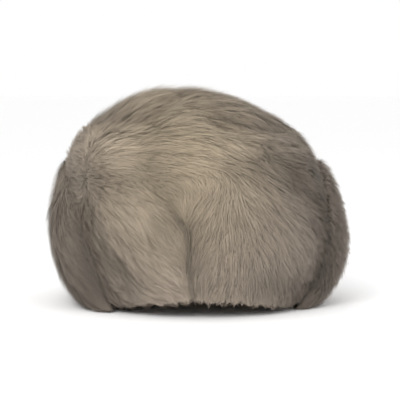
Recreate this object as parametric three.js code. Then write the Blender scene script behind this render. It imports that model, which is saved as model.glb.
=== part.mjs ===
// A soft fur cap sewn from long-haired pelts, standing on the cuff that is turned up round its
// sides and back. Millimetres, +Z up; the front faces -Y, and +X is the right side seen from the front.
// Each pelt is one solid: its hide and underfur are a wall, and the guard hair is locks fused to it.
import * as THREE from "three";

// Driving dimensions
const HIDE_AND_UNDERFUR = 16; // how thick a pelt is without its locks
const RIM_THICKNESS = 12; // the same at the head opening, where the pelt is turned in
const RIM_HEIGHT = 3; // the wall's rim over the surface, where the cuff carries the cap
const FRONT_ARCH = 10; // how much further the rim rises over the forehead
const FRONT_ARCH_SPAN = 65; // degrees to each side at which that rise has gone
const ARCH_FADE = 65; // height at which the arched rim no longer lifts the wall
const SEAM_GAP = 0.5; // between two pelts that are sewn together
const CUFF_GAP = 1.1; // between the cuff and the wall that it lies against
const CUFF_HEIGHT = 122; // top of the turned-up cuff
const CUFF_END_THICKNESS = 3; // at the cuff's two front ends
const CUFF_END_ROUNDING = 20; // how far along the band the ends round off

// Locks of guard hair, in rows down each pelt
const LOCK_LENGTH = 13.5; // from one row of roots to the next
const LOCK_RISE = 4; // how far a tip stands off the underfur
const LOCK_OVERHANG = 6; // how far a tip reaches over the next row's roots
const LOCK_VARIATION = 0.25; // share by which locks are longer or shorter
const SHORT_LOCK_RISE = 1.2; // the shallow valley between two locks of a row
const LEDGE = 0.5; // between such a valley's end and the next roots
const LAST_CROWN_OVERHANG = 2.5; // how far the crown's lowest tips reach over the wall
const CUFF_LEAN = 0.35; // millimetres backwards for each down, of the cuff's locks
const CROWN_LEAN = 0.3; // the same to the right, of the crown's locks

// Outer form of wall and crown from the rim to the pole, as distances from the cap's middle
const BODY = [
  { height: 0, left: 90, right: 92, front: 106, back: 111 },
  { height: 14, left: 98, right: 101, front: 115, back: 118 },
  { height: 38, left: 105, right: 109, front: 122, back: 123 },
  { height: 66, left: 109, right: 113, front: 126, back: 125 },
  { height: 94, left: 110, right: 109, front: 124, back: 124 },
  { height: 116, left: 111, right: 101, front: 118, back: 120 },
  { height: 130, left: 108, right: 95, front: 111, back: 115 },
  { height: 141, left: 102, right: 86, front: 102, back: 108 },
  { height: 152, left: 88, right: 71, front: 89, back: 96 },
  { height: 163, left: 71, right: 49, front: 72, back: 78 },
  { height: 171, left: 58, right: 33, front: 54, back: 60 },
  { height: 178, left: 41, right: 14, front: 32, back: 37 },
  { height: 180.5, left: 12, right: -12, front: 0, back: 0 },
];
const POLE = BODY.length - 1;
const SEAM_PLACE = 7.45; // where wall and crown are sewn together, counted in the rows above
const SEAM_OPENS = 0.016; // half of the gap left there, counted the same way
const RIM_TURNED_IN = 1.5; // the row up to which the turned-in rim is thinner
const POLE_WHORL = 2; // rows below the pole over which the crown's locks grow to full size

// The seam between the two front pelts wanders: its angle from the middle of the front, in degrees
const FRONT_SEAM = [
  { height: 0, angle: -3 },
  { height: 50, angle: -4.6 },
  { height: 73, angle: -5 },
  { height: 85, angle: -12 },
  { height: 94, angle: -19 },
  { height: 108, angle: -23 },
  { height: 130, angle: -24 },
  { height: 155, angle: -25 },
];

// The cuff: how thick its fur is at each height, and the angle in degrees where it ends on each side
const CUFF = [
  { height: 0, left: 8, right: 9, back: 9, leftEnd: 50, rightEnd: 62 },
  { height: 5, left: 12, right: 14, back: 14, leftEnd: 51.5, rightEnd: 63 },
  { height: 14, left: 15, right: 15, back: 17, leftEnd: 53, rightEnd: 65 },
  { height: 38, left: 16.5, right: 16, back: 19, leftEnd: 57, rightEnd: 68 },
  { height: 62, left: 17, right: 13, back: 18, leftEnd: 61, rightEnd: 71 },
  { height: 82, left: 15, right: 7, back: 14, leftEnd: 65, rightEnd: 73 },
  { height: 104, left: 9, right: 4, back: 9, leftEnd: 75, rightEnd: 77 },
  { height: CUFF_HEIGHT, left: 3, right: 3, back: 4, leftEnd: 88, rightEnd: 86 },
];

// Creases of the slumped front, as strokes seen from the front: across (x) and up (z). In order: the
// crown's crease at the right and at the left, the fold over the crown, the right fold, the groove
// beside the cuff at the right, the second fold at the left, the front seam, the valley above it, and
// the groove beside the cuff at the left.
const FOLDS = [
  { depth: 7, width: 6, stroke: [[8, 159], [32, 151], [59, 149], [86, 142]] },
  { depth: 4.5, width: 8, stroke: [[-100, 142], [-74, 153], [-44, 155]] },
  { depth: 6, width: 6, stroke: [[-44, 155], [-27, 169], [-12, 176]] },
  { depth: 7.5, width: 7, stroke: [[41, 128], [53, 133], [67, 126], [74, 110], [92, 93]] },
  { depth: 7.5, width: 7, stroke: [[92, 93], [105, 67], [101, 40], [86, 13]] },
  { depth: 6, width: 6, stroke: [[-84, 51], [-69, 44], [-58, 29], [-53, 18]] },
  { depth: 6.5, width: 5, stroke: [[-22, 88], [-8, 76], [-7, 53], [-5, 17]] },
  { depth: 4, width: 9, stroke: [[-47, 129], [-44, 111], [-35, 97], [-22, 88]] },
  { depth: 6, width: 8, stroke: [[-107, 112], [-96, 83], [-90, 50], [-80, 26], [-70, 6]] },
];

// Where the fur is pushed out between the creases
const MOUNDS = [
  { x: -59, z: 134, rise: 3, radius: 15 },
  { x: -58, z: 93, rise: 4, radius: 18 },
  { x: -4, z: 139, rise: 3, radius: 18 },
  { x: 45, z: 140, rise: 3.5, radius: 13 },
  { x: -22, z: 68, rise: 3, radius: 15 },
  { x: 6, z: 97, rise: 3, radius: 14 },
  { x: 80, z: 55, rise: 4, radius: 17 },
  { x: 88, z: 109, rise: 4, radius: 9 },
  { x: -33, z: 178, rise: 3, radius: 12 },
];
const FRONT_FADE = 60; // depth over which creases and mounds die out towards the back

// Which way the hair lies on the front, towards (toX, toZ) around the point (x, z)
const NAP = [
  { x: -92, z: 114, toX: 1, toZ: -0.3 },
  { x: -76, z: 64, toX: 1, toZ: -0.9 },
  { x: -37, z: 61, toX: 1, toZ: -0.8 },
  { x: -37, z: 24, toX: 1, toZ: -0.3 },
  { x: 5, z: 62, toX: -0.6, toZ: -1 },
  { x: 9, z: 24, toX: -0.3, toZ: -1 },
  { x: 47, z: 33, toX: 0.3, toZ: -1 },
  { x: 81, z: 58, toX: 0.7, toZ: -1 },
  { x: 76, z: 97, toX: 1, toZ: -0.8 },
  { x: 0, z: 145, toX: 1, toZ: -0.2 },
];
const STRONGEST_LEAN = 0.35; // millimetres sideways for each down

// Where the wall's locks are pressed flat by the cuff that lies on it, in millimetres
const WHOLE_AHEAD = 19; // the locks are whole down to this far ahead of the cuff's end
const FLAT_AHEAD = 8; // and lie flat from here on
const WHOLE_ABOVE = 12; // the same above the cuff's top edge
const FLAT_ABOVE = 2;

// Counts and sizes of the facets
const WALL_COLUMNS = 40; // round each wall pelt
const WALL_SPREAD = 1.12; // above 1, the wall's columns stand closer at the front
const CROWN_COLUMNS = 48;
const CUFF_COLUMNS = 60;
const WALL_LINING_ROWS = 6; // facets up the inside
const CROWN_LINING_ROWS = 6;
const CUFF_LINING_ROWS = 10;
const MEASURED_MERIDIAN = 45; // degrees from the front, where the rows of locks are spaced
const MERIDIAN_STEPS = 200;
const HALVINGS = 24; // for finding a height on a meridian
const TYPICAL_RADIUS = 115; // turns millimetres round the cap into an angle

const mix = THREE.MathUtils.lerp;
const smooth = THREE.MathUtils.smoothstep;
const radians = THREE.MathUtils.degToRad;

// A repeatable number from 0 to 1 for each lock.
function chance(row, column) {
  const wave = Math.sin(row * 127.1 + column * 311.7) * 43758.5453;
  return wave - Math.floor(wave);
}

// A column of a table at a place between its rows, on a smooth curve through them.
function between(table, column, place) {
  const last = table.length - 1;
  const at = THREE.MathUtils.clamp(place, 0, last);
  const row = Math.min(Math.floor(at), last - 1);
  const value = (index) => table[THREE.MathUtils.clamp(index, 0, last)][column];
  const [before, from, to, after] = [row - 1, row, row + 1, row + 2].map(value);
  const share = at - row;
  const slopeFrom = (to - before) / 2;
  const slopeTo = (after - from) / 2;
  const square = share * share;
  const cube = square * share;
  return (2 * cube - 3 * square + 1) * from + (cube - 2 * square + share) * slopeFrom
    + (3 * square - 2 * cube) * to + (cube - square) * slopeTo;
}

// The place between a table's rows at which its height column has this value.
function placeAt(table, height) {
  const next = table.findIndex((row) => row.height > height);
  if (next < 0) return table.length - 1;
  if (next === 0) return 0;
  return next - 1 + (height - table[next - 1].height) / (table[next].height - table[next - 1].height);
}

// A point of the smooth body: angle is from the front towards +X, place counts BODY's rows.
function bodySurface(angle, place) {
  const [left, right, front, back] = ["left", "right", "front", "back"].map((c) => between(BODY, c, place));
  const height = between(BODY, "height", place);
  const fromFront = Math.acos(Math.cos(angle));
  const arch = 0.5 + 0.5 * Math.cos(Math.min(fromFront / radians(FRONT_ARCH_SPAN), 1) * Math.PI);
  const depth = Math.cos(angle) > 0 ? front : back;
  return new THREE.Vector3(
    (right - left) / 2 + ((left + right) / 2) * Math.sin(angle),
    -depth * Math.cos(angle),
    height + RIM_HEIGHT + FRONT_ARCH * arch * (1 - smooth(height, 0, ARCH_FADE)),
  );
}

function bodyNormal(angle, place) {
  const step = 0.01;
  const along = bodySurface(angle + step, place).sub(bodySurface(angle - step, place));
  const higher = bodySurface(angle, Math.min(place + step, POLE));
  const up = higher.sub(bodySurface(angle, Math.max(place - step, 0)));
  const normal = along.cross(up);
  return normal.lengthSq() > 0 ? normal.normalize() : new THREE.Vector3(0, 0, 1);
}

// The place on the meridian at this angle where the body reaches a height.
function placeOnBody(angle, height) {
  let [low, high] = [0, SEAM_PLACE];
  for (let i = 0; i < HALVINGS; i++) {
    const middle = (low + high) / 2;
    if (bodySurface(angle, middle).z < height) low = middle;
    else high = middle;
  }
  return (low + high) / 2;
}

// How far a point is from a stroke drawn on the front view.
function strokeDistance(stroke, x, z) {
  const at = new THREE.Vector2(x, z);
  let nearest = Infinity;
  for (let i = 1; i < stroke.length; i++) {
    const start = new THREE.Vector2(...stroke[i - 1]);
    const run = new THREE.Vector2(...stroke[i]).sub(start);
    const share = THREE.MathUtils.clamp(at.clone().sub(start).dot(run) / run.lengthSq(), 0, 1);
    nearest = Math.min(nearest, at.distanceTo(start.addScaledVector(run, share)));
  }
  return nearest;
}

// The slump of the front: mounds less folds, fading out towards the sides.
function slump(point) {
  let rise = 0;
  for (const fold of FOLDS) {
    const away = strokeDistance(fold.stroke, point.x, point.z) / fold.width;
    rise -= fold.depth * Math.exp(-(away ** 2));
  }
  for (const mound of MOUNDS) {
    const away = Math.hypot(point.x - mound.x, point.z - mound.z) / mound.radius;
    rise += mound.rise * Math.exp(-(away ** 2));
  }
  return rise * smooth(-point.y, 0, FRONT_FADE);
}

// Sideways lean of the nap at a point of the front, in millimetres for each millimetre down.
function napLean(point) {
  let across = 0;
  let down = 0;
  for (const guide of NAP) {
    const weight = 1 / (Math.hypot(point.x - guide.x, point.z - guide.z) ** 3 + 1);
    across += guide.toX * weight;
    down -= guide.toZ * weight;
  }
  const facing = smooth(-point.y, -FRONT_FADE, FRONT_FADE);
  return STRONGEST_LEAN * THREE.MathUtils.clamp(across / down, -1, 1) * facing;
}

// The angle at which the cuff ends on one side at a height, past which it covers the wall.
function cuffEnd(side, height) {
  return radians(between(CUFF, side < 0 ? "leftEnd" : "rightEnd", placeAt(CUFF, height)));
}

// 1 where the wall shows, falling to 0 where the cuff presses on it.
function showing(angle, height) {
  const inside = (Math.abs(angle) - cuffEnd(Math.sign(angle), height)) * TYPICAL_RADIUS;
  const ahead = 1 - smooth(inside, -WHOLE_AHEAD, -FLAT_AHEAD);
  const above = smooth(height - CUFF_HEIGHT, FLAT_ABOVE, WHOLE_ABOVE);
  return Math.max(ahead, above);
}

// Levels from one place on the body to another, a lock's length apart along one meridian.
function lockRows(from, to) {
  const point = (share) => bodySurface(radians(MEASURED_MERIDIAN), mix(from, to, share));
  const travelled = [0];
  for (let i = 1; i <= MERIDIAN_STEPS; i++) {
    const step = point(i / MERIDIAN_STEPS).distanceTo(point((i - 1) / MERIDIAN_STEPS));
    travelled.push(travelled[i - 1] + step);
  }
  const total = travelled[MERIDIAN_STEPS];
  const count = Math.round(total / LOCK_LENGTH);
  const levels = [from];
  for (let k = 1; k < count; k++) {
    const goal = (total * k) / count;
    const next = travelled.findIndex((length) => length >= goal);
    const share = (goal - travelled[next - 1]) / (travelled[next] - travelled[next - 1]);
    levels.push(mix(from, to, (next - 1 + share) / MERIDIAN_STEPS));
  }
  return [...levels, to];
}

// The outside of one column of a pelt from its top edge down: each lock's roots, tucked under the
// row above, then its tip. Tips are long in every second column, so that the locks are staggered.
// surface(level, sideways) is the underfur there: its point, its normal and how freely its hair stands.
function lockColumn(column, levels, surface, lean, lastOverhang = -LEDGE) {
  const corners = [];
  levels.slice(0, -1).forEach((upper, row) => {
    const lower = levels[row + 1];
    const root = surface(upper, 0);
    const isLong = (row + column) % 2 === 0;
    const isLast = row === levels.length - 2;
    const variation = mix(1 - LOCK_VARIATION, 1 + LOCK_VARIATION, chance(row, column));
    const size = surface(mix(upper, lower, 0.5), 0).vigour * variation;
    let overhang = isLong ? LOCK_OVERHANG * size : -LEDGE;
    if (isLast) overhang = isLong ? lastOverhang : -LEDGE;
    const sideways = isLong ? lean(root.point) * LOCK_LENGTH * size : 0;
    const reach = lower - ((upper - lower) * overhang) / LOCK_LENGTH;
    const tip = surface(reach, sideways);
    const rise = isLong ? LOCK_RISE * size : SHORT_LOCK_RISE * size;
    corners.push({ level: upper, point: root.point });
    corners.push({ level: reach, point: tip.point.clone().addScaledVector(tip.normal, rise) });
  });
  corners.push({ level: levels.at(-1), point: surface(levels.at(-1), 0).point });
  return corners;
}

// A closed solid from sections side by side. Each has an outer and an inner chain of corners, both
// from the top down. A ring of sections closes on itself; otherwise each end gets a face.
function sweep(sections, isRing) {
  const positions = [];
  const triangle = (...corners) => {
    const names = new Set(corners.map((p) => p.toArray().map((n) => n.toFixed(4)).join()));
    if (names.size === 3) positions.push(...corners.flatMap((p) => p.toArray()));
  };
  const loops = sections.map(({ outer, inner }) => [...outer, ...inner.toReversed()].map((c) => c.point));
  for (let s = 0; s < loops.length - (isRing ? 0 : 1); s++) {
    const here = loops[s];
    const next = loops[(s + 1) % loops.length];
    for (let i = 0; i < here.length; i++) {
      const j = (i + 1) % here.length;
      triangle(here[i], here[j], next[j]);
      triangle(here[i], next[j], next[i]);
    }
  }
  if (!isRing) {
    endFace(sections[0], (a, b, c) => triangle(a, c, b));
    endFace(sections.at(-1), triangle);
  }
  const geometry = new THREE.BufferGeometry();
  return geometry.setAttribute("position", new THREE.Float32BufferAttribute(positions, 3));
}

// Joins a section's outer and inner chains from the top down, always by the corner that is higher.
function endFace({ outer, inner }, triangle) {
  let [o, i] = [0, 0];
  while (o < outer.length - 1 || i < inner.length - 1) {
    const outerNext = outer[o + 1]?.level ?? -Infinity;
    const innerNext = inner[i + 1]?.level ?? -Infinity;
    if (outerNext >= innerNext) {
      triangle(outer[o].point, outer[o + 1].point, inner[i].point);
      o++;
    } else {
      triangle(outer[o].point, inner[i + 1].point, inner[i].point);
      i++;
    }
  }
}

// One of the two pelts round the head, from the front seam to the seam at the back.
function wallPelt(side) {
  const top = SEAM_PLACE - SEAM_OPENS;
  const levels = lockRows(top, 0);
  const halfGap = SEAM_GAP / 2 / TYPICAL_RADIUS;
  const angleAt = (share, place) => {
    const seamPlace = placeAt(FRONT_SEAM, between(BODY, "height", place));
    const front = radians(between(FRONT_SEAM, "angle", seamPlace));
    return mix(front + side * halfGap, side * (Math.PI - halfGap), share);
  };
  const sections = [];
  for (let column = 0; column <= WALL_COLUMNS; column++) {
    const share = (column / WALL_COLUMNS) ** WALL_SPREAD;
    const isEnd = column === 0 || column === WALL_COLUMNS;
    const surface = (place, sideways) => {
      const angle = angleAt(share, place) + sideways / TYPICAL_RADIUS;
      const point = bodySurface(angle, place);
      const normal = bodyNormal(angle, place);
      const vigour = showing(angle, point.z);
      point.addScaledVector(normal, slump(point) * vigour);
      return { point, normal, vigour: isEnd ? 0 : vigour };
    };
    const inner = [];
    for (let row = 0; row <= WALL_LINING_ROWS; row++) {
      const place = mix(top, 0, row / WALL_LINING_ROWS);
      const angle = angleAt(share, place);
      const depth = mix(RIM_THICKNESS, HIDE_AND_UNDERFUR, smooth(place, 0, RIM_TURNED_IN));
      const point = bodySurface(angle, place).addScaledVector(bodyNormal(angle, place), -depth);
      inner.push({ level: place, point });
    }
    sections.push({ outer: lockColumn(column, levels, surface, napLean), inner });
  }
  return sweep(side < 0 ? sections.reverse() : sections, false);
}

// The pelt over the top of the head.
function crownPelt() {
  const bottom = SEAM_PLACE + SEAM_OPENS;
  const levels = lockRows(POLE, bottom);
  const sections = [];
  for (let column = 0; column < CROWN_COLUMNS; column++) {
    const angle = (column / CROWN_COLUMNS) * 2 * Math.PI;
    const surface = (place, sideways) => {
      const turned = angle + sideways / TYPICAL_RADIUS;
      const point = bodySurface(turned, place);
      const normal = bodyNormal(turned, place);
      const vigour = smooth(POLE - place, 0, POLE_WHORL);
      return { point: point.addScaledVector(normal, slump(point)), normal, vigour };
    };
    const inner = [];
    for (let row = 0; row <= CROWN_LINING_ROWS; row++) {
      const place = mix(POLE, bottom, row / CROWN_LINING_ROWS);
      const normal = row === 0 ? new THREE.Vector3(0, 0, 1) : bodyNormal(angle, place);
      const point = bodySurface(angle, place).addScaledVector(normal, -HIDE_AND_UNDERFUR);
      inner.push({ level: place, point });
    }
    const lean = () => CROWN_LEAN * Math.cos(angle);
    sections.push({ outer: lockColumn(column, levels, surface, lean, LAST_CROWN_OVERHANG), inner });
  }
  return sweep(sections, true);
}

// The cuff turned up against the wall round the sides and back, from its left end to its right.
function backCuff() {
  const rowCount = Math.round(CUFF_HEIGHT / LOCK_LENGTH);
  const levels = Array.from({ length: rowCount + 1 }, (_, k) => CUFF_HEIGHT * (1 - k / rowCount));
  const sections = [];
  for (let column = 0; column <= CUFF_COLUMNS; column++) {
    const share = column / CUFF_COLUMNS;
    const band = (2 * Math.PI - cuffEnd(-1, 0) - cuffEnd(1, 0)) * TYPICAL_RADIUS;
    const fromEnd = Math.min(share, 1 - share) * band;
    const fullness = Math.sqrt(1 - (1 - Math.min(fromEnd / CUFF_END_ROUNDING, 1)) ** 2);
    const wall = (height, sideways) => {
      const turned = -mix(cuffEnd(-1, height), 2 * Math.PI - cuffEnd(1, height), share);
      const angle = turned + sideways / TYPICAL_RADIUS;
      const place = placeOnBody(angle, height);
      const normal = bodyNormal(angle, place).setZ(0).normalize();
      return { angle, point: bodySurface(angle, place).setZ(height), normal };
    };
    const surface = (height, sideways) => {
      const { angle, point, normal } = wall(height, sideways);
      const flank = between(CUFF, Math.sin(angle) < 0 ? "left" : "right", placeAt(CUFF, height));
      const full = mix(between(CUFF, "back", placeAt(CUFF, height)), flank, Math.sin(angle) ** 2);
      const thickness = mix(CUFF_END_THICKNESS, full, fullness);
      return { point: point.addScaledVector(normal, CUFF_GAP + thickness), normal, vigour: fullness };
    };
    const inner = [];
    for (let row = 0; row <= CUFF_LINING_ROWS; row++) {
      const height = CUFF_HEIGHT * (1 - row / CUFF_LINING_ROWS);
      const { point, normal } = wall(height, 0);
      inner.push({ level: height, point: point.addScaledVector(normal, CUFF_GAP) });
    }
    const lean = (point) => CUFF_LEAN * Math.sign(point.x) * smooth(Math.abs(point.x), 0, TYPICAL_RADIUS);
    sections.push({ outer: lockColumn(column, levels, surface, lean), inner });
  }
  return sweep(sections.reverse(), false);
}

const fur = (colour) => new THREE.MeshStandardMaterial({ color: colour, roughness: 0.95, metalness: 0 });

const PELTS = [
  { name: "crown", geometry: crownPelt(), material: fur("#8f8373") },
  { name: "wall_pelt_left", geometry: wallPelt(-1), material: fur("#938674") },
  { name: "wall_pelt_right", geometry: wallPelt(1), material: fur("#8b7f71") },
  { name: "back_cuff", geometry: backCuff(), material: fur("#7e736a") },
];

const cap = new THREE.Group();
for (const { name, geometry, material } of PELTS) {
  const pelt = new THREE.Mesh(geometry, material);
  pelt.name = name;
  cap.add(pelt);
}

// The origin is the middle of the cap's box, on the surface that it rests on.
const box = new THREE.Box3().setFromObject(cap);
const middle = box.getCenter(new THREE.Vector3());
cap.position.set(-middle.x, -middle.y, -box.min.z);

export default cap;
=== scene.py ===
"""Fur cap: the coat of a soft cap sewn from long-haired pelts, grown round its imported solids.

Metres, +Z up, the front towards -Y. Tables give places in millimetres, as (x, z) on the front view or
as (x, y, z), because the coat is planned the way a furrier chalks it on the pelts.
"""

import math

import bmesh
import bpy
import numpy as np
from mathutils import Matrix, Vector
from mathutils.bvhtree import BVHTree


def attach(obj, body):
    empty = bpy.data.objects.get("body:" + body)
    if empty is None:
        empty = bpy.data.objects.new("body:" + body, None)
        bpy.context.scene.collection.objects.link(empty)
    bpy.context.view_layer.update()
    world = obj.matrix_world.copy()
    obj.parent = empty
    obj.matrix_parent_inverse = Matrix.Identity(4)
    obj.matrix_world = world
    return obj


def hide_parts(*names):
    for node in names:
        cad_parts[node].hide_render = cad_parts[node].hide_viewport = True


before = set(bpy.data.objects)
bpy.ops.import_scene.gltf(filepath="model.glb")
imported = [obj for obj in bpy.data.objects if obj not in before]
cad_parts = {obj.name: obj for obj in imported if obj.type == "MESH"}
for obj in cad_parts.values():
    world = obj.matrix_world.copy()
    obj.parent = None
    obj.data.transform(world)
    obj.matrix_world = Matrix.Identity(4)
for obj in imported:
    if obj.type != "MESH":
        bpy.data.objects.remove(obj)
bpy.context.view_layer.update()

bl_info = {
    "name": "Fur cap",
    "version": (1, 0, 0),
    "blender": (4, 5, 0),
    "location": "View3D > Sidebar > Fur cap",
    "description": "Grows the pelts, the hair and the stage of a soft fur cap",
    "category": "Object",
}

MM = 0.001

# The cap as the front's guides see it, in millimetres: half its width, half its depth and its middle's height
HALF_WIDTH, HALF_DEPTH, MIDDLE_HEIGHT = 116, 128, 70
# How far ahead of the widest part the front's plan has its full strength, in millimetres
FRONT_FADE = 45

# Creases that the slumped front falls into, painted darker at their bottoms as shade and with shorter hair there:
# how wide, and the stroke that each follows on the front view
CREASES = {
    "crown_right": (7, [(8, 159), (32, 151), (59, 149), (86, 142)]),
    "crown_left": (8, [(-100, 142), (-74, 153), (-44, 155)]),
    "over_crown": (6, [(-44, 155), (-27, 169), (-12, 176)]),
    "right_fold": (8, [(41, 128), (53, 133), (67, 126), (74, 110), (92, 93)]),
    "beside_cuff_right": (9, [(92, 93), (105, 67), (101, 40), (86, 13)]),
    "second_left": (7, [(-84, 51), (-69, 44), (-58, 29), (-53, 18)]),
    "front_seam": (4, [(-22, 88), (-8, 76), (-7, 53), (-5, 17)]),
    "beside_cuff_left": (9, [(-107, 112), (-96, 83), (-90, 50), (-80, 26), (-70, 6)]),
}

# Painted highlights (+) and painted shade (-) on the front: light on the bulges and the middle, shade in folds,
# hollows, under overhangs and along the darker sides; how much, how wide, and where, as a stroke or a place
PAINTED_LIGHT_AND_SHADE = {
    "shoulder_left": (0.25, 14, [(-72, 133), (-55, 137)]),
    "behind_shoulder": (-0.15, 14, [(-100, 126), (-104, 98)]),
    "top_left": (0.25, 15, [(-82, 148), (-50, 168), (-15, 178)]),
    "cheek_left": (0.14, 16, [(-54, 84)]),
    "under_shoulder": (-0.25, 9, [(-84, 112), (-54, 112)]),
    "beside_seam": (0.18, 12, [(-34, 55), (-26, 35)]),
    "brow_middle": (0.36, 16, [(-50, 16), (-5, 12), (50, 14)]),
    "top_middle": (0.12, 20, [(-20, 139), (20, 139)]),
    "top_right": (0.15, 10, [(15, 141), (65, 136)]),
    "tuft_right": (0.2, 9, [(87, 106)]),
    "valley": (-0.25, 13, [(-38, 122), (-28, 100), (-26, 80)]),
    "seam_hollow": (-0.38, 12, [(-6, 80), (-1, 52)]),
    "fold_left": (-0.12, 18, [(-104, 100), (-96, 75), (-88, 45), (-75, 20)]),
    "band_left": (-0.42, 16, [(-116, 80), (-106, 55), (-98, 25)]),
    "deep_fold_left": (-0.3, 9, [(-100, 70), (-93, 45), (-84, 20)]),
    "under_top_right": (-0.22, 11, [(20, 122), (75, 117), (92, 112)]),
    "fold_right": (-0.25, 18, [(80, 118), (98, 90), (105, 60), (98, 30)]),
    "cheek_right": (-0.12, 14, [(52, 78), (38, 70)]),
    "band_right": (-0.5, 12, [(94, 120), (104, 90), (107, 60), (101, 25)]),
    "under_right_fold": (-0.18, 16, [(60, 105), (80, 80)]),
    "lower_right": (-0.38, 19, [(55, 30), (80, 22)]),
}
# Where the fur is yellower than the silvery rest: the middle and how far it reaches
WARM_PLACE, WARM_REACH = (-16, 125), 78

# Where the coat stands ruffled: how much more, how wide, and the stroke
RUFFLES = {
    "top_left": (0.3, 16, [(-84, 150), (-60, 164), (-34, 178), (-12, 184)]),
    "cuff_left": (0.1, 16, [(-128, 100), (-131, 60), (-120, 15)]),
    "cuff_right": (0.1, 16, [(118, 118), (130, 60), (118, 15)]),
    "middle": (0.4, 22, [(18, 95), (26, 70)]),
}

# Which way the hair lies on the front: the place, and the way as degrees, 0 to the right and -90 down
FRONT_FLOW = [
    (-99, 128, 165), (-84, 137, 45), (-64, 140, 30), (-40, 142, 20), (-101, 108, 175),
    (-80, 122, 0), (-60, 110, -20), (-40, 100, -30),
    (-85, 85, -35), (-60, 80, -40), (-35, 75, -45), (-80, 50, -45),
    (-50, 50, -40), (-25, 55, -35), (-70, 20, -20), (-40, 20, -15), (-15, 20, -20),
    (-25, 125, -15), (0, 125, -10), (30, 130, -18), (10, 102, -145), (2, 80, -130),
    (0, 55, -125), (5, 30, -120), (4, 12, -115), (27, 88, -90), (30, 60, -90), (30, 25, -90),
    (42, 98, -50), (50, 75, -60), (55, 30, -72), (75, 80, -50), (80, 40, -60),
    (70, 105, -40), (92, 65, -52), (92, 102, -35), (88, 122, -28),
]
# The same where the front view doesn't reach: the place, and the way as x, y, z
SIDE_FLOW = [
    ((-104, -10, 138), (0.1, 0.6, 0.3)), ((-110, 0, 115), (0, 0.7, -0.3)),
    ((-100, 45, 120), (0, -0.2, -1)), ((-75, 85, 120), (0.1, 0.2, -1)),
    ((0, 120, 130), (0.1, 0.3, -1)), ((80, 80, 120), (0, 0.4, -1)), ((105, 0, 120), (0.2, 0.5, -0.8)),
]
CROWN_FLOW = [
    ((-90, -20, 150), (1, 0, 0.5)), ((-60, -70, 150), (1, 0.1, 0.2)), ((-60, -40, 165), (1, 0.1, 0.4)),
    ((-20, -85, 152), (1, 0.05, -0.3)), ((20, -85, 152), (1, 0, -0.6)), ((0, -50, 175), (1, 0.15, -0.1)),
    ((50, -60, 155), (1, 0.1, -0.5)), ((80, -20, 145), (1, 0.3, -0.8)),
    ((-60, 40, 165), (1, 0.5, 0)), ((0, 60, 165), (0.8, 0.7, -0.2)), ((50, 60, 155), (0.6, 0.8, -0.4)),
]
CUFF_FLOW = [
    ((-108, -54, 120), (0, 0.7, -0.5)), ((-106, -64, 100), (0.5, -0.3, -0.7)),
    ((-100, -74, 60), (0.8, -0.5, -0.5)), ((-90, -82, 20), (0.6, -0.3, -0.6)),
    ((-120, -40, 60), (-0.1, 0, -1)), ((-125, 0, 60), (0, 0.3, -1)), ((-90, 100, 60), (0.1, 0.4, -1)),
    ((0, 140, 60), (0.1, 0.3, -1)), ((90, 100, 60), (0, 1, -0.7)), ((125, 0, 60), (0, 1, -0.5)),
    ((115, -50, 60), (0.1, 0.7, -0.7)), ((88, -84, 12), (-0.8, -0.3, -0.4)),
]

# How much painted shade darkens the fur at a crease's bottom, and how much the crease shortens the hair
CREASE_PAINTED_SHADE, CREASE_SHORTENING = 0.35, 0.25
# The underfur is never lowered by more than this share of the pelt's thickness
SINKING_LIMIT = 0.4
# How close over a pelt another one hides it, in millimetres, and the shifts that have to be hidden too, so that
# hair still grows on a strip inside the other pelt's edge
HIDING_REACH = 14
HIDING_SHIFTS = ((0, 0, 0), (0, -9, 0), (0, 0, 6))
# The coat's bed takes in the pelts' outer face and a little round their edges
BED_EDGE = -0.1
# How far from the bed the hides under it are looked for
BED_SEARCH = 6 * MM

# How far a single hair strays from the comb, and how finely the comb meanders
STRAY, MEANDER_SCALE = 0.14, 55.0
# A hair's lift, as a share: what chance gives the hair and its tuft, the power that makes upright hairs rare, and
# the least that all have
HAIR_CHANCE, TUFT_CHANCE, RARITY, LEAST_LIFT = 0.9, 0.35, 3.0, 0.27
# The lift at a hair's root, as a share of its tip's, and how deep every hair is set into its bed
ROOT_LIFT, SET_IN = 0.64, 0.6 * MM
# How fine and how strong the patches of lighter and darker hair are
PATCH_SCALE, PATCH_STRENGTH = 90.0, 2.5
# No hair reaches lower than this
LOWEST_HAIR = 0.4 * MM
# The shading of a hair: how round it is across and along, and where along it faces straight out
ROUND_ACROSS, ROUND_ALONG, STRAIGHT_AT = 0.35, 0.3, 0.4

# What the coat's plan and tree keep on the mesh only while the hair grows
GROWING = (
    "cover", "ruffled", "outside", "comb", "pile", "lie", "gather", "across", "rise", "side", "facing", "laid"
)

# How many hairs each piece of each pelt's coat has, each of them one long triangle
HAIRS = {"wall_pelt_left": 184000, "wall_pelt_right": 184000, "crown": 160000, "back_cuff": 144000}


def linear(hex_colour):
    """The linear colour, with alpha, of an sRGB hex value."""
    parts = [int(hex_colour[i : i + 2], 16) / 255 for i in (1, 3, 5)]
    return tuple(c / 12.92 if c <= 0.04045 else ((c + 0.055) / 1.055) ** 2.4 for c in parts) + (1.0,)


def add(tree, kind, values=None, **settings):
    """Adds a node with its settings. values maps a socket's name or index to a value or to an output."""
    node = tree.nodes.new(kind)
    for name, value in settings.items():
        setattr(node, name, value)
    for key, value in (values or {}).items():
        named = [s for s in node.inputs if s.enabled and key in (s.name, s.identifier)]
        socket = node.inputs[key] if isinstance(key, int) else named[0]
        if isinstance(value, bpy.types.NodeSocket):
            tree.links.new(value, socket)
        else:
            socket.default_value = value
    return node


def link_object(name, mesh):
    obj = bpy.data.objects.new(name, mesh)
    bpy.context.scene.collection.objects.link(obj)
    return obj


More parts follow.
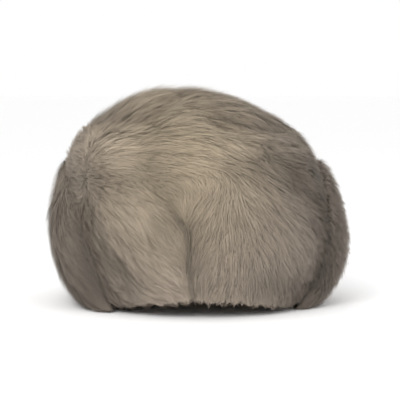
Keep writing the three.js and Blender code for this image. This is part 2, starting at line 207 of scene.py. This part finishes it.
def plain_mesh(obj, name):
    """The evaluated result of an object's modifiers, as a new mesh."""
    graph = bpy.context.evaluated_depsgraph_get()
    mesh = bpy.data.meshes.new_from_object(obj.evaluated_get(graph))
    mesh.name = name
    return mesh


def vertex_arrays(mesh):
    """Places and normals of a mesh's vertices, in metres."""
    places = np.empty(len(mesh.vertices) * 3, np.float32)
    mesh.vertices.foreach_get("co", places)
    normals = np.empty(len(mesh.vertices) * 3, np.float32)
    mesh.vertex_normals.foreach_get("vector", normals)
    return places.reshape(-1, 3).astype(float), normals.reshape(-1, 3).astype(float)


def move_vertices(mesh, places):
    mesh.vertices.foreach_set("co", places.astype(np.float32).ravel())
    mesh.update()


def store(mesh, name, values):
    """Keeps one number or vector for each vertex under a name."""
    is_vector = values.ndim == 2
    attribute = mesh.attributes.new(name, "FLOAT_VECTOR" if is_vector else "FLOAT", "POINT")
    attribute.data.foreach_set("vector" if is_vector else "value", values.astype(np.float32).ravel())


def stored_values(mesh, name):
    """The numbers or vectors that store kept, one row for each vertex."""
    attribute = mesh.attributes[name]
    width = 3 if attribute.data_type == "FLOAT_VECTOR" else 1
    data = np.empty(len(mesh.vertices) * width, np.float32)
    attribute.data.foreach_get("vector" if width == 3 else "value", data)
    return data.reshape(-1, width).astype(float)


def unit(vectors):
    return vectors / np.maximum(np.linalg.norm(vectors, axis=1, keepdims=True), 1e-9)


# The coat's plan: creases, shades and flow


def stroke_distance(stroke, places):
    """How far places seen from the front are from a stroke or a single place, in millimetres."""
    x, z = places[:, 0] / MM, places[:, 2] / MM
    nearest = np.hypot(x - stroke[0][0], z - stroke[0][1])
    for (x0, z0), (x1, z1) in zip(stroke, stroke[1:]):
        run = np.array([x1 - x0, z1 - z0], float)
        share = np.clip(((x - x0) * run[0] + (z - z0) * run[1]) / run.dot(run), 0, 1)
        nearest = np.minimum(nearest, np.hypot(x - x0 - share * run[0], z - z0 - share * run[1]))
    return nearest


def facing_front(places):
    """1 on the front, falling to 0 at the widest part."""
    return np.clip(-places[:, 1] / (FRONT_FADE * MM), 0, 1)


def crease_depth(places):
    """How deep in a crease each place lies, from 0 to 1."""
    depth = np.zeros(len(places))
    for width, stroke in CREASES.values():
        depth = np.maximum(depth, np.exp(-((stroke_distance(stroke, places) / width) ** 2)))
    return depth * facing_front(places)


def shade(places):
    """The painted light and shade on the fur at each place, as its brightness, 1 being the usual."""
    change = np.zeros(len(places))
    for amount, width, stroke in PAINTED_LIGHT_AND_SHADE.values():
        change += amount * np.exp(-((stroke_distance(stroke, places) / width) ** 2))
    return np.exp(change * facing_front(places))


def warmth(places):
    return np.exp(-((stroke_distance([WARM_PLACE], places) / WARM_REACH) ** 2))


def ruffled(places):
    """How far the hair stands up at each place, 1 being the usual."""
    more = np.zeros(len(places))
    for amount, width, stroke in RUFFLES.values():
        more += amount * np.exp(-((stroke_distance(stroke, places) / width) ** 2))
    return 1 + more


def on_front(x, z, degrees):
    """The place on the cap's front, roughly, that the front view shows at x and z, and its way as x, y, z."""
    bulge = math.sqrt(1 - (x / HALF_WIDTH) ** 2)
    right, up = math.cos(math.radians(degrees)), math.sin(math.radians(degrees))
    back = right * HALF_DEPTH * x / (HALF_WIDTH**2 * bulge)
    return (x, -HALF_DEPTH * bulge, z), (right, back, up)


def front_flow():
    """The walls' flow: the front view's guides, lifted on to the front, and the sides' guides."""
    return [on_front(*guide) for guide in FRONT_FLOW] + SIDE_FLOW


def comb(places, flow, reach=14.0):
    """The way the hair is combed at each place, from the flow's nearest guides."""
    way = np.zeros_like(places)
    for guide, direction in flow:
        away = np.linalg.norm(places / MM - np.array(guide, float), axis=1)
        way += np.array(direction, float) / np.linalg.norm(direction) / (away[:, None] ** 3 + reach**3)
    return unit(way)


def edge_below(places, sectors=90):
    """The height of the pelt's lower edge under each place."""
    sector = ((np.arctan2(places[:, 0], -places[:, 1]) / math.tau + 0.5) * sectors).astype(int) % sectors
    lowest = np.full(sectors, np.inf)
    np.minimum.at(lowest, sector, places[:, 2])
    return lowest[sector]


# Making the pelts


def softened(mesh, name, facet, smoothing, closing=0.0):
    """A new object with this mesh's form in even facets, its edges worn down and its narrow gaps closed."""
    rough = link_object(name + "_rough", mesh)
    steps = [("REMESH", facet)]
    if closing:
        steps += [("DISPLACE", closing), ("REMESH", facet), ("DISPLACE", -closing)]
    for kind, size in steps:
        modifier = rough.modifiers.new(kind.lower(), kind)
        if kind == "REMESH":
            modifier.mode = "VOXEL"
            modifier.voxel_size = size
        else:
            modifier.mid_level = 0
            modifier.strength = size
    smooth = rough.modifiers.new("wear", "SMOOTH")
    smooth.factor = 0.5
    smooth.iterations = smoothing
    soft = link_object(name, plain_mesh(rough, name))
    bpy.data.objects.remove(rough)
    soft.data.materials.clear()
    soft.data.shade_smooth()
    return soft


def pelt_body(node_name, sizes):
    """Hide and underfur of one pelt: its solid, without the locks."""
    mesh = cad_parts[node_name].data.copy()
    merged = bmesh.new()
    merged.from_mesh(mesh)
    bmesh.ops.remove_doubles(merged, verts=merged.verts, dist=0.01 * MM)
    merged.to_mesh(mesh)
    merged.free()
    return softened(mesh, node_name + "_hide", sizes.pelt_facet, sizes.pelt_smoothing)


def outward(places):
    """The way straight out of the cap at each place."""
    return unit(places - np.array([0, 0, MIDDLE_HEIGHT]) * MM)


def facing_out(places, normals):
    """From -1 on the pelt's inner face to 1 on its outer face."""
    return (outward(places) * normals).sum(axis=1)


def thickness(mesh, places, outer):
    """How thick the pelt is, straight inwards from each place on its outer face."""
    tree = BVHTree.FromPolygons([v.co for v in mesh.vertices], [f.vertices for f in mesh.polygons])
    ways = -outward(places)
    depth = np.zeros(len(places))
    for i in np.nonzero(outer)[0]:
        start = Vector(places[i]) + Vector(ways[i]) * 0.2 * MM
        depth[i] = tree.ray_cast(start, Vector(ways[i]))[3] or 0
    return depth


def sink_underfur(mesh, sizes):
    """Lowers the underfur's surface so that the hair's tips, not its roots, reach the cap's outline."""
    places, normals = vertex_arrays(mesh)
    outer = np.clip((facing_out(places, normals) + 0.1) / 0.3, 0, 1)
    depth = np.minimum(sizes.pile_depth, SINKING_LIMIT * thickness(mesh, places, outer))
    move_vertices(mesh, places - outward(places) * (outer * depth)[:, None])


def uncover_under(cover, hiding, places):
    """Takes away the cover where another pelt lies close over the outer face, except inside that pelt's edge."""
    tree = BVHTree.FromObject(hiding, bpy.context.evaluated_depsgraph_get())
    ways = outward(places)
    hidden = cover > 0
    for shift in HIDING_SHIFTS:
        for i in np.nonzero(hidden)[0]:
            start = Vector(places[i]) + Vector(shift) * MM
            hidden[i] = tree.ray_cast(start, Vector(ways[i]), HIDING_REACH * MM)[0] is not None
    cover[hidden] = 0


def plan_coat(mesh, flow, shortest, sizes, hidden_by=None):
    """Writes the coat's plan on a pelt: where hair grows, which way, how long, and its colouring. shortest is the
    least share of its length that hair has, at the pelt's lower edge."""
    places, normals = vertex_arrays(mesh)
    outer = facing_out(places, normals)
    crease = crease_depth(places)
    cover = np.clip((outer + 0.8) / 0.15, 0, 1)
    if hidden_by is not None:
        uncover_under(cover, hidden_by, places)
    way = comb(places, flow)
    room_below = places[:, 2] - edge_below(places) - 1 * MM
    drop = sizes.hair_length * np.maximum(-way[:, 2], 0.01)
    store(mesh, "cover", cover)
    store(mesh, "outside", np.clip((outer + 0.85) / 0.15, 0, 1))
    store(mesh, "comb", way)
    store(mesh, "pile", np.clip(room_below / drop, shortest, 1) * (1 - CREASE_SHORTENING * crease))
    store(mesh, "ruffled", ruffled(places))
    # shade holds the front's painted highlights and shade, and the painted shade at the creases' bottoms
    store(mesh, "shade", shade(places) * (1 - CREASE_PAINTED_SHADE * crease))
    store(mesh, "warmth", warmth(places))


def covered_area(mesh):
    """Square metres of a pelt that hair grows on."""
    cover = stored_values(mesh, "cover")[:, 0]
    return sum(face.area * cover[list(face.vertices)].mean() for face in mesh.polygons)


# Growing the hair


def hair_blade():
    """One hair: a triangle with two corners at its root and one at its tip, drawn out by the coat's tree."""
    mesh = bpy.data.meshes.new("hair_blade")
    mesh.from_pydata([(0, 0, 0)] * 3, [], [(0, 1, 2)])
    store(mesh, "along", np.array([0.0, 0.0, 1.0]))
    store(mesh, "side", np.array([-1.0, 1.0, 0.0]))
    return link_object("hair_blade", mesh)


def coat_tree():
    """Geometry Nodes that grow hair on a pelt, along its plan: scattered roots with one hair at each, then every
    hair is drawn along the comb, gathered into tufts, and laid on the coat's bed, rising to its tip."""
    tree = bpy.data.node_groups.new("coat", "GeometryNodeTree")
    sockets = {
        "Pelt": "Geometry", "Blade": "Object", "Form": "Object", "Density": "Float", "Length": "Float",
        "Width": "Float", "Lift": "Float", "Wander": "Float", "Tuft Size": "Float", "Tuft Pull": "Float",
        "Lock Size": "Float", "Seed": "Int", "Fur": "Material",
    }
    for name, kind in sockets.items():
        tree.interface.new_socket(name, in_out="INPUT", socket_type="NodeSocket" + kind)
    tree.interface.new_socket("Hair", in_out="OUTPUT", socket_type="NodeSocketGeometry")
    given = add(tree, "NodeGroupInput").outputs

    def stored(name, kind="FLOAT_VECTOR"):
        return add(tree, "GeometryNodeInputNamedAttribute", {"Name": name}, data_type=kind).outputs["Attribute"]

    def keep(geometry, **values):
        for name, value in values.items():
            kind = "FLOAT_VECTOR" if value.type == "VECTOR" else "FLOAT"
            inputs = {"Geometry": geometry, "Name": name, "Value": value}
            geometry = add(tree, "GeometryNodeStoreNamedAttribute", inputs, data_type=kind).outputs[0]
        return geometry

    def vector(operation, *values):
        return add(tree, "ShaderNodeVectorMath", dict(enumerate(values)), operation=operation).outputs[0]

    def scaled(a, by):
        return add(tree, "ShaderNodeVectorMath", {0: a, "Scale": by}, operation="SCALE").outputs[0]

    def number(operation, *values):
        return add(tree, "ShaderNodeMath", dict(enumerate(values)), operation=operation).outputs[0]

    def chance(low, high, salt):
        seed = number("ADD", given["Seed"], salt)
        return add(tree, "FunctionNodeRandomValue", {"Min": low, "Max": high, "Seed": seed}).outputs["Value"]

    def cells(place, size):
        return add(tree, "ShaderNodeTexVoronoi", {"Vector": place, "Scale": number("DIVIDE", 1.0, size)}).outputs

    def form_away(place):
        inputs = {"Mesh": form, "Value": stored("away"), "Sample Position": place}
        sample = add(tree, "GeometryNodeSampleNearestSurface", inputs, data_type="FLOAT_VECTOR")
        return vector("NORMALIZE", sample.outputs["Value"])

    def along_skin(a):
        dot = add(tree, "ShaderNodeVectorMath", {0: a, 1: away}, operation="DOT_PRODUCT").outputs["Value"]
        return vector("SUBTRACT", a, scaled(away, dot))

    density = number("MULTIPLY", given["Density"], stored("cover", "FLOAT"))
    points = add(
        tree,
        "GeometryNodeDistributePointsOnFaces",
        {"Mesh": given["Pelt"], "Density": density, "Seed": given["Seed"]},
    ).outputs["Points"]
    form = add(tree, "GeometryNodeObjectInfo", {"Object": given["Form"]}).outputs["Geometry"]
    root = add(tree, "GeometryNodeInputPosition").outputs[0]
    away = form_away(root)

    bends = {"Vector": root, "Scale": MEANDER_SCALE, "Detail": 2.0}
    meander = add(tree, "ShaderNodeTexNoise", bends).outputs["Color"]
    wandering = scaled(vector("SUBTRACT", meander, (0.5, 0.5, 0.5)), given["Wander"])
    limits = {0: (-STRAY,) * 3, 1: (STRAY,) * 3, "Seed": 3}
    stray = add(tree, "FunctionNodeRandomValue", limits, data_type="FLOAT_VECTOR").outputs["Value"]
    way = vector("NORMALIZE", along_skin(vector("ADD", stored("comb"), vector("ADD", wandering, stray))))
    share = number("MULTIPLY", stored("pile", "FLOAT"), chance(0.5, 1.1, 5))
    length = number("MULTIPLY", given["Length"], share)
    lie = scaled(way, length)
    tip = vector("ADD", root, lie)
    tuft = cells(tip, given["Tuft Size"])
    shared = add(tree, "ShaderNodeSeparateXYZ", {0: tuft["Color"]}).outputs[0]
    stands = number("ADD", chance(0.0, HAIR_CHANCE, 7), number("MULTIPLY", shared, TUFT_CHANCE))
    stands = number("ADD", number("POWER", stands, RARITY), LEAST_LIFT)
    stands = number("MULTIPLY", stands, stored("ruffled", "FLOAT"))
    lock = add(tree, "ShaderNodeSeparateXYZ", {0: cells(root, given["Lock Size"])["Color"]}).outputs[0]
    patch = add(tree, "ShaderNodeTexNoise", {"Vector": tip, "Scale": PATCH_SCALE, "Detail": 3.0}).outputs["Fac"]
    patch = number("MULTIPLY", number("SUBTRACT", patch, 0.5), PATCH_STRENGTH)
    tint = number("MULTIPLY", number("ADD", chance(0.0, 1.0, 11), lock), 0.5)
    half_width = number("MULTIPLY", given["Width"], chance(0.35, 0.6, 9))
    points = keep(
        points,
        lie=lie,
        gather=scaled(along_skin(vector("SUBTRACT", tuft["Position"], tip)), given["Tuft Pull"]),
        across=scaled(vector("CROSS_PRODUCT", way, away), half_width),
        rise=number("MULTIPLY", given["Lift"], stands),
        tint=number("ADD", tint, patch),
    )
    blade = add(tree, "GeometryNodeObjectInfo", {"Object": given["Blade"]}).outputs["Geometry"]
    hairs = add(tree, "GeometryNodeInstanceOnPoints", {"Points": points, "Instance": blade}).outputs[0]
    hairs = add(tree, "GeometryNodeRealizeInstances", {"Geometry": hairs}).outputs[0]

    along = stored("along", "FLOAT")
    drawn = vector("ADD", root, scaled(vector("ADD", stored("lie"), stored("gather")), along))
    nearest = add(tree, "GeometryNodeProximity", {0: form, "Sample Position": drawn}).outputs["Position"]
    facing = form_away(drawn)
    climb = number("ADD", number("MULTIPLY", along, 1 - ROOT_LIFT), ROOT_LIFT)
    height = number("SUBTRACT", number("MULTIPLY", stored("rise", "FLOAT"), climb), SET_IN)
    laid = vector("ADD", nearest, scaled(facing, height))
    laid = vector("ADD", laid, scaled(stored("across"), stored("side", "FLOAT")))
    hairs = keep(hairs, facing=facing, laid=laid)
    hairs = add(tree, "GeometryNodeSetPosition", {"Geometry": hairs, "Position": stored("laid")}).outputs[0]
    hairs = add(tree, "GeometryNodeSetShadeSmooth", {"Geometry": hairs}).outputs[0]
    hairs = add(tree, "GeometryNodeSetMaterial", {"Geometry": hairs, "Material": given["Fur"]}).outputs[0]
    add(tree, "NodeGroupOutput", {"Hair": hairs})
    return tree


def coat_form(sizes):
    """The coat's bed: the cap's outer face as one soft surface with closed seams, just above the hides."""
    joined = bmesh.new()
    for node_name in HAIRS:
        joined.from_mesh(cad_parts[node_name].data)
    mesh = bpy.data.meshes.new("joined_solids")
    joined.to_mesh(mesh)
    joined.free()
    form = softened(mesh, "form", sizes.pelt_facet, sizes.form_smoothing, sizes.form_closing)
    places, normals = vertex_arrays(form.data)
    outer = facing_out(places, normals)
    ways = outward(places)
    starts = places + ways * BED_SEARCH
    room = np.full(len(places), sizes.pile_depth)
    graph = bpy.context.evaluated_depsgraph_get()
    for node_name in HAIRS:
        tree = BVHTree.FromObject(bpy.data.objects[node_name + "_hide"], graph)
        for i in np.nonzero(outer > BED_EDGE)[0]:
            distance = tree.ray_cast(Vector(starts[i]), Vector(-ways[i]), 2 * BED_SEARCH)[3]
            if distance is not None:
                room[i] = min(room[i], distance - BED_SEARCH - sizes.form_gap)
    move_vertices(form.data, places - ways * room[:, None])
    store(form.data, "away", vertex_arrays(form.data)[1])
    outer_face = bmesh.new()
    outer_face.from_mesh(form.data)
    outer_face.verts.ensure_lookup_table()
    inner = [outer_face.verts[i] for i in np.nonzero(outer <= BED_EDGE)[0]]
    bmesh.ops.delete(outer_face, geom=inner, context="VERTS")
    outer_face.to_mesh(form.data)
    outer_face.free()
    return form


def grow(pelt, name, hairs, material, seed, sizes):
    """Grows about this many hairs on a pelt, as one plain mesh."""
    holder = link_object(name + "_roots", pelt.data)
    modifier = holder.modifiers.new("coat", "NODES")
    modifier.node_group = bpy.data.node_groups.get("coat") or coat_tree()
    values = {
        "Blade": bpy.data.objects["hair_blade"],
        "Form": bpy.data.objects["form"],
        "Density": hairs / covered_area(pelt.data),
        "Length": sizes.hair_length,
        "Width": sizes.hair_width,
        "Lift": sizes.hair_lift,
        "Wander": sizes.wander,
        "Tuft Size": sizes.tuft_size,
        "Tuft Pull": sizes.tuft_pull,
        "Lock Size": sizes.lock_size,
        "Seed": seed,
        "Fur": material,
    }
    for item in modifier.node_group.interface.items_tree:
        if item.in_out == "INPUT" and item.name in values:
            modifier[item.identifier] = values[item.name]
    mesh = plain_mesh(holder, name)
    bpy.data.objects.remove(holder)
    places, _ = vertex_arrays(mesh)
    places[:, 2] = np.maximum(places[:, 2], LOWEST_HAIR)
    move_vertices(mesh, places)
    round_hairs(mesh)
    return link_object(name, mesh)


def round_hairs(mesh):
    """Shades each hair as the bed under it faces, rounded across its width and from root to tip."""
    along, side = stored_values(mesh, "along"), stored_values(mesh, "side")
    normals = stored_values(mesh, "facing") + unit(stored_values(mesh, "across")) * side * ROUND_ACROSS
    normals += unit(stored_values(mesh, "lie")) * (along - STRAIGHT_AT) * ROUND_ALONG
    mesh.normals_split_custom_set_from_vertices(unit(normals).tolist())
    for name in GROWING:
        mesh.attributes.remove(mesh.attributes[name])


# Materials


def mixed(tree, factor, a, b):
    """The colour between a and b."""
    node = add(tree, "ShaderNodeMix", {"Factor": factor, "A": a, "B": b}, data_type="RGBA")
    return next(s for s in node.outputs if s.enabled)


def new_material(name, roughness):
    material = bpy.data.materials.new(name)
    material.use_nodes = True
    shader = material.node_tree.nodes["Principled BSDF"]
    shader.inputs["Roughness"].default_value = roughness
    return material, material.node_tree, shader


def attribute(tree, name):
    """A number that the coat's plan or the tree stored."""
    return add(tree, "ShaderNodeAttribute", attribute_name=name).outputs["Fac"]


def hair_colour(tree, colours, *factors):
    """The coat's planned colour, silver to honey, made lighter or darker by the plan's painted highlights and
    shade and by the factors.
    """
    colour = mixed(tree, attribute(tree, "warmth"), linear(colours.silver), linear(colours.honey))
    for factor in (attribute(tree, "shade"),) + factors:
        colour = add(tree, "ShaderNodeVectorMath", {0: colour, "Scale": factor}, operation="SCALE").outputs[0]
    return colour


def ranged(tree, value, low, high):
    """A value from 0 to 1, spread from low to high."""
    return add(tree, "ShaderNodeMapRange", {"Value": value, "To Min": low, "To Max": high}).outputs[0]


def fur_material(name, colours):
    """Silver beige guard hair: softly matt, darker towards its roots, with paler hairs among the rest. A hair that
    is seen from behind keeps its front's shading, as light comes through it."""
    material, tree, shader = new_material(name, 0.7)
    seen = add(tree, "ShaderNodeNewGeometry").outputs
    bright = ranged(tree, attribute(tree, "along"), 0.92, 1.04)
    tint = ranged(tree, attribute(tree, "tint"), 0.89, 1.11)
    # The base colour carries the plan's painted highlights and shade
    tree.links.new(hair_colour(tree, colours, bright, tint), shader.inputs["Base Color"])
    turned = ranged(tree, seen["Backfacing"], 1.0, -1.0)
    away = add(tree, "ShaderNodeVectorMath", {0: seen["Normal"], "Scale": turned}, operation="SCALE").outputs[0]
    tree.links.new(away, shader.inputs["Normal"])
    shader.inputs["Specular IOR Level"].default_value = 0.25
    return material


def pelt_material(name, colours):
    """Dense woolly underfur outside and sueded hide inside, both matt with a fine uneven grain."""
    material, tree, shader = new_material(name, 0.9)
    place = add(tree, "ShaderNodeTexCoord").outputs["Object"]
    grain = add(tree, "ShaderNodeTexNoise", {"Vector": place, "Scale": 500.0, "Detail": 4.0}).outputs["Fac"]
    # The underfur takes the coat's colour with its painted highlights and shade, a little darker with its grain
    wool = hair_colour(tree, colours, ranged(tree, grain, 0.8, 0.95))
    hide = mixed(tree, grain, linear(colours.hide_shade), linear(colours.hide))
    tree.links.new(mixed(tree, attribute(tree, "outside"), hide, wool), shader.inputs["Base Color"])
    bump = add(tree, "ShaderNodeBump", {"Height": grain, "Strength": 0.5, "Distance": 0.5 * MM}).outputs[0]
    tree.links.new(bump, shader.inputs["Normal"])
    return material


def paper_material(name, colour):
    """Matt white background paper."""
    material, _, shader = new_material(name, 0.9)
    shader.inputs["Base Color"].default_value = linear(colour)
    return material


class FurCapSizes(bpy.types.PropertyGroup):
    pelt_facet: bpy.props.FloatProperty(
        name="Pelt facet",
        description="Fineness of the underfur and the bed",
        default=2.8 * MM,
        subtype="DISTANCE",
    )
    pelt_smoothing: bpy.props.IntProperty(
        name="Pelt smoothing",
        description="How far the locks are worn down",
        default=10,
    )
    form_smoothing: bpy.props.IntProperty(
        name="Form smoothing",
        description="How softly the coat goes over seams and folds",
        default=24,
    )
    form_closing: bpy.props.FloatProperty(
        name="Form closing",
        description="Half the widest gap that the coat bridges",
        default=8 * MM,
        subtype="DISTANCE",
    )
    form_gap: bpy.props.FloatProperty(
        name="Form gap",
        description="From the hides up to the hair's bed",
        default=1.6 * MM,
        subtype="DISTANCE",
    )
    pile_depth: bpy.props.FloatProperty(
        name="Pile depth",
        description="From the hair's tips down to the underfur",
        default=5.0 * MM,
        subtype="DISTANCE",
    )
    hair_length: bpy.props.FloatProperty(
        name="Hair length",
        description="Length of the longest guard hair",
        default=15 * MM,
        subtype="DISTANCE",
    )
    hair_width: bpy.props.FloatProperty(
        name="Hair width",
        description="Width of a hair at its root",
        default=0.45 * MM,
        subtype="DISTANCE",
    )
    hair_lift: bpy.props.FloatProperty(
        name="Hair lift",
        description="How far upright tips stand off the bed",
        default=4.0 * MM,
        subtype="DISTANCE",
    )
    wander: bpy.props.FloatProperty(name="Wander", description="How much the flow meanders", default=0.8)
    tuft_size: bpy.props.FloatProperty(
        name="Tuft size",
        description="From one tuft's tip to the next",
        default=3.8 * MM,
        subtype="DISTANCE",
    )
    tuft_pull: bpy.props.FloatProperty(name="Tuft pull", description="How far tips draw together", default=0.28)
    lock_size: bpy.props.FloatProperty(
        name="Lock size",
        description="Width of a lock of hairs that share a tint",
        default=3 * MM,
        subtype="DISTANCE",
    )


class FurCapColours(bpy.types.PropertyGroup):
    silver: bpy.props.StringProperty(name="Silver", description="Greyer fur of the sides", default="#968a7e")
    honey: bpy.props.StringProperty(name="Honey", description="Yellower fur of the middle", default="#9e907a")
    hide: bpy.props.StringProperty(name="Hide", description="Colour of the sueded hide", default="#cbbda6")
    hide_shade: bpy.props.StringProperty(name="Hide shade", description="Its darker parts", default="#b3a48c")


def make_pelt(node_name, flow, shortest=0.15, hidden_by=None):
    """Hide and underfur of one pelt, with its coat's plan, in place of its solid."""
    scene = bpy.context.scene
    pelt = pelt_body(node_name, scene.fur_cap_sizes)
    sink_underfur(pelt.data, scene.fur_cap_sizes)
    plan_coat(pelt.data, flow, shortest, scene.fur_cap_sizes, hidden_by)
    pelt.data.materials.append(pelt_material(node_name + "_underfur_and_suede", scene.fur_cap_colours))
    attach(pelt, "root")
    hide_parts(node_name)
    return pelt


def make_coat(node_name, seed, parts=1):
    """The guard hair of one pelt, in one piece or more."""
    scene = bpy.context.scene
    material = fur_material(node_name + "_guard_hair", scene.fur_cap_colours)
    pelt = bpy.data.objects[node_name + "_hide"]
    for part in range(parts):
        name = f"{node_name}_fur_{part + 1}" if parts > 1 else node_name + "_fur"
        coat = grow(pelt, name, HAIRS[node_name], material, seed + part, scene.fur_cap_sizes)
        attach(coat, "root")


class FURCAP_OT_pelts(bpy.types.Operator):
    """Makes the hide and underfur of the four pelts, and the bed that their hair lies on"""

    bl_idname = "fur_cap.pelts"
    bl_label = "Pelts"

    def execute(self, context):
        cuff = make_pelt("back_cuff", CUFF_FLOW, shortest=0.55)
        make_pelt("wall_pelt_left", front_flow(), hidden_by=cuff)
        make_pelt("wall_pelt_right", front_flow(), hidden_by=cuff)
        make_pelt("crown", CROWN_FLOW)
        coat_form(context.scene.fur_cap_sizes)
        hair_blade()
        return {"FINISHED"}


class FURCAP_OT_coats(bpy.types.Operator):
    """Grows the guard hair of the four pelts"""

    bl_idname = "fur_cap.coats"
    bl_label = "Coats"

    def execute(self, context):
        make_coat("wall_pelt_left", 11)
        make_coat("wall_pelt_right", 21)
        make_coat("crown", 31)
        make_coat("back_cuff", 41, parts=2)
        return {"FINISHED"}


class FURCAP_OT_stage(bpy.types.Operator):
    """Makes the floor, the lights and the camera"""

    bl_idname = "fur_cap.stage"
    bl_label = "Stage"

    def execute(self, context):
        scene = context.scene
        bpy.ops.mesh.primitive_plane_add(size=60)
        floor = context.object
        floor.name = "floor"
        floor.data.materials.append(paper_material("matt_white_paper", "#fdfdfd"))
        scene.world = bpy.data.worlds.new("soft_white_room")
        scene.world.use_nodes = True
        room = scene.world.node_tree.nodes["Background"]
        room.inputs["Color"].default_value = (1, 1, 1, 1)
        room.inputs["Strength"].default_value = 1.0
        for name, place, power, size in (
            ("key_softbox", (-0.4, -1.3, 0.9), 14, 0.8),
            ("fill_softbox", (0.9, -1.1, 0.6), 3, 0.9),
        ):
            light = bpy.data.lights.new(name, "AREA")
            light.energy = power
            light.size = size
            lamp = bpy.data.objects.new(name, light)
            lamp.location = place
            lamp.rotation_euler = (Vector((0, 0, 0.09)) - Vector(place)).to_track_quat("-Z", "Y").to_euler()
            scene.collection.objects.link(lamp)
        distance, elevation, view_width = 1.4, math.radians(4), 0.347
        target = Vector((0.0009, 0, 0.0876))
        camera = bpy.data.cameras.new("camera")
        camera.lens = camera.sensor_width * distance / view_width
        viewer = bpy.data.objects.new("camera", camera)
        viewer.location = target + Vector((0, -math.cos(elevation), math.sin(elevation))) * distance
        viewer.rotation_euler = (target - viewer.location).to_track_quat("-Z", "Y").to_euler()
        scene.collection.objects.link(viewer)
        scene.camera = viewer
        scene.view_settings.view_transform = "Standard"
        return {"FINISHED"}


class FURCAP_PT_panel(bpy.types.Panel):
    bl_label = "Fur cap"
    bl_idname = "FURCAP_PT_panel"
    bl_space_type = "VIEW_3D"
    bl_region_type = "UI"
    bl_category = "Fur cap"

    def draw(self, context):
        for group in (context.scene.fur_cap_sizes, context.scene.fur_cap_colours):
            for name in group.__annotations__:
                self.layout.prop(group, name)
        for operator in OPERATORS:
            self.layout.operator(operator.bl_idname)


OPERATORS = (FURCAP_OT_pelts, FURCAP_OT_coats, FURCAP_OT_stage)
CLASSES = (FurCapSizes, FurCapColours) + OPERATORS + (FURCAP_PT_panel,)


def register():
    for cls in CLASSES:
        bpy.utils.register_class(cls)
    bpy.types.Scene.fur_cap_sizes = bpy.props.PointerProperty(type=FurCapSizes)
    bpy.types.Scene.fur_cap_colours = bpy.props.PointerProperty(type=FurCapColours)


def unregister():
    del bpy.types.Scene.fur_cap_sizes
    del bpy.types.Scene.fur_cap_colours
    for cls in reversed(CLASSES):
        bpy.utils.unregister_class(cls)


def main():
    register()
    bpy.ops.fur_cap.pelts()
    bpy.ops.fur_cap.coats()
    bpy.ops.fur_cap.stage()
    for helper in ("hair_blade", "form"):
        bpy.data.objects.remove(bpy.data.objects[helper])
    bpy.context.view_layer.update()


if __name__ == "__main__":
    main()
